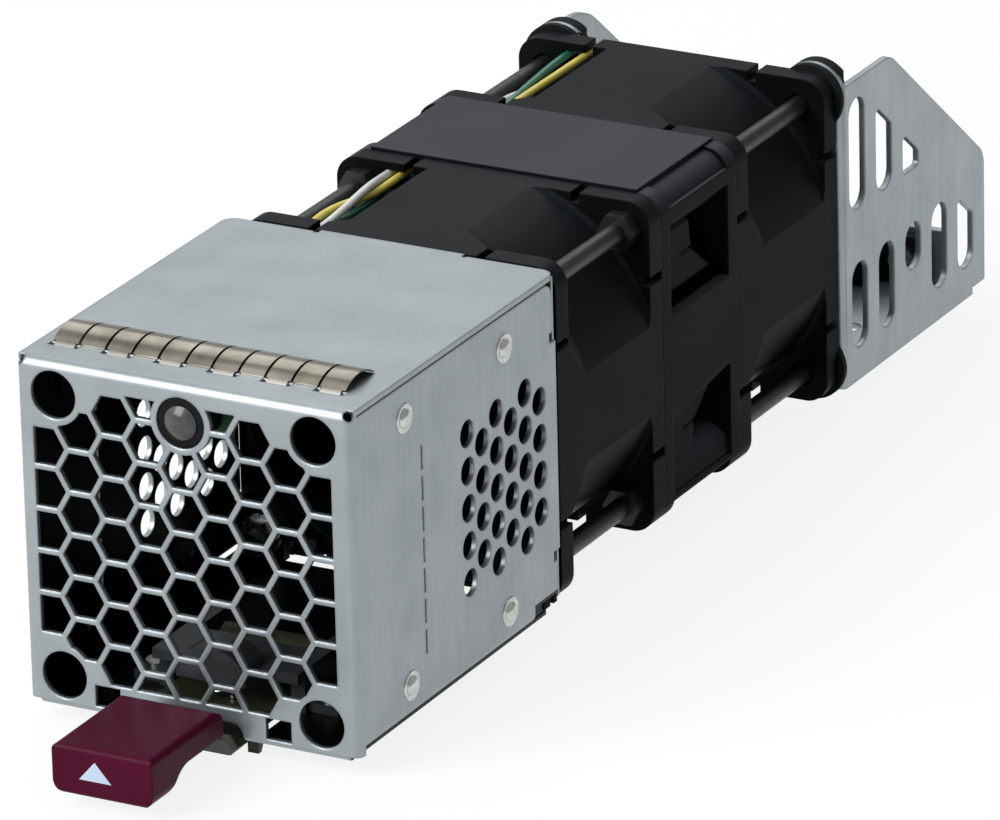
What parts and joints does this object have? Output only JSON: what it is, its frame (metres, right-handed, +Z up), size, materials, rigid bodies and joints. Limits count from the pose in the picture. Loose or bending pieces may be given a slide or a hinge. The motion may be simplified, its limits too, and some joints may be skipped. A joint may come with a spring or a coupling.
{
  "type": "server fan module",
  "caption": "Hot-swap fan module for a server bay: perforated sheet-metal cage with a release latch and status light, in-line axial fans, spacer and rear connector bracket",
  "frame": {"origin": "centre of the four corner holes, on the front plate's outer face", "axes": "+X to the right seen from the front, +Y from the front plate to the connector, +Z up; the latch is on the -Z side"},
  "size_m": [0.064, 0.2638, 0.0657],
  "materials": {
    "galvanised": "zinc-coated sheet, soft satin with faint grain",
    "zinc_steel": "bright zinc plate",
    "black_steel": "black oxide, oiled",
    "rivet_steel": "bright steel, lightly polished",
    "nickel": "nickel-plated spring strip, glossy",
    "latch_steel": "ground steel",
    "maroon": "fine-textured dark red moulding",
    "white_mark": "flat white print",
    "olive_plastic": "dark olive moulding",
    "smoke_plastic": "smoke grey moulding",
    "lens": "cloudy grey diffuser",
    "black_moulding": "black moulding",
    "board": "green solder mask",
    "emitter": "clear resin",
    "contact_metal": "gold flash",
    "rubber": "soft black rubber",
    "spacer_black": "black moulding with a soft sheen",
    "wire_yellow": "smooth insulation",
    "wire_white": "smooth insulation",
    "wire_green": "smooth insulation",
    "lead_sleeve": "black sleeve",
    "fan_black": "black glass-filled moulding",
    "yoke_steel": "drawn steel",
    "magnet": "bonded ferrite",
    "brass": "machined",
    "core_steel": "stacked laminations",
    "copper": "enamelled copper wire"
  },
  "bodies": {
    "module": {"connector_contacts": "contact_metal", "connector_housing": "black_moulding", "connector_screws": "zinc_steel", "emi_gasket": "nickel", "fan_a_bearing_tube": "brass", "fan_a_bearings": "latch_steel", "fan_a_circuit_board": "board", "fan_a_coils": "copper", "fan_a_frame": "fan_black", "fan_a_lead": "lead_sleeve", "fan_a_stator_core": "core_steel", "fan_b_bearing_tube": "brass", "fan_b_bearings": "latch_steel", "fan_b_circuit_board": "board", "fan_b_coils": "copper", "fan_b_frame": "fan_black", "fan_b_lead": "lead_sleeve", "fan_b_stator_core": "core_steel", "fan_spacer": "spacer_black", "front_cage": "galvanised", "front_isolators": "rubber", "harness_wire_green": "wire_green", "harness_wire_white": "wire_white", "harness_wire_yellow": "wire_yellow", "inner_frame": "galvanised", "latch_housing": "smoke_plastic", "latch_pin": "latch_steel", "latch_screws": "zinc_steel", "latch_spring": "latch_steel", "light_board": "board", "light_emitters": "emitter", "light_lens": "lens", "light_sleeve": "black_moulding", "rear_bracket": "galvanised", "rear_isolators": "rubber", "side_rivets": "rivet_steel", "stack_nuts": "black_steel", "tie_nuts": "zinc_steel", "tie_screws": "black_steel", "tie_washers": "zinc_steel"},
    "fan_a_rotor": {"fan_a_impeller": "fan_black", "fan_a_rotor_yoke": "yoke_steel", "fan_a_magnet_ring": "magnet", "fan_a_shaft": "latch_steel", "fan_a_retaining_ring": "latch_steel"},
    "fan_b_rotor": {"fan_b_impeller": "fan_black", "fan_b_rotor_yoke": "yoke_steel", "fan_b_magnet_ring": "magnet", "fan_b_shaft": "latch_steel", "fan_b_retaining_ring": "latch_steel"},
    "latch": {"latch_handle": "maroon", "latch_lever": "olive_plastic", "handle_mark": "white_mark"}
  },
  "joints": [
    {"name": "fan_a_spin", "type": "hinge", "parent": "module", "child": "fan_a_rotor", "pos_m": [0, 0.0722, 0], "axis": [0, 1, 0], "continuous": true},
    {"name": "fan_b_spin", "type": "hinge", "parent": "module", "child": "fan_b_rotor", "pos_m": [0, 0.1384, 0], "axis": [0, 1, 0], "continuous": true},
    {"name": "latch_pivot", "type": "hinge", "parent": "module", "child": "latch", "pos_m": [0, 0.027, -0.026], "axis": [-1, 0, 0], "range_deg": [0, 6], "stiffness_Nm_per_rad": 0.4, "springref_deg": -20.05, "deforming": ["latch_spring"]}
  ]
}
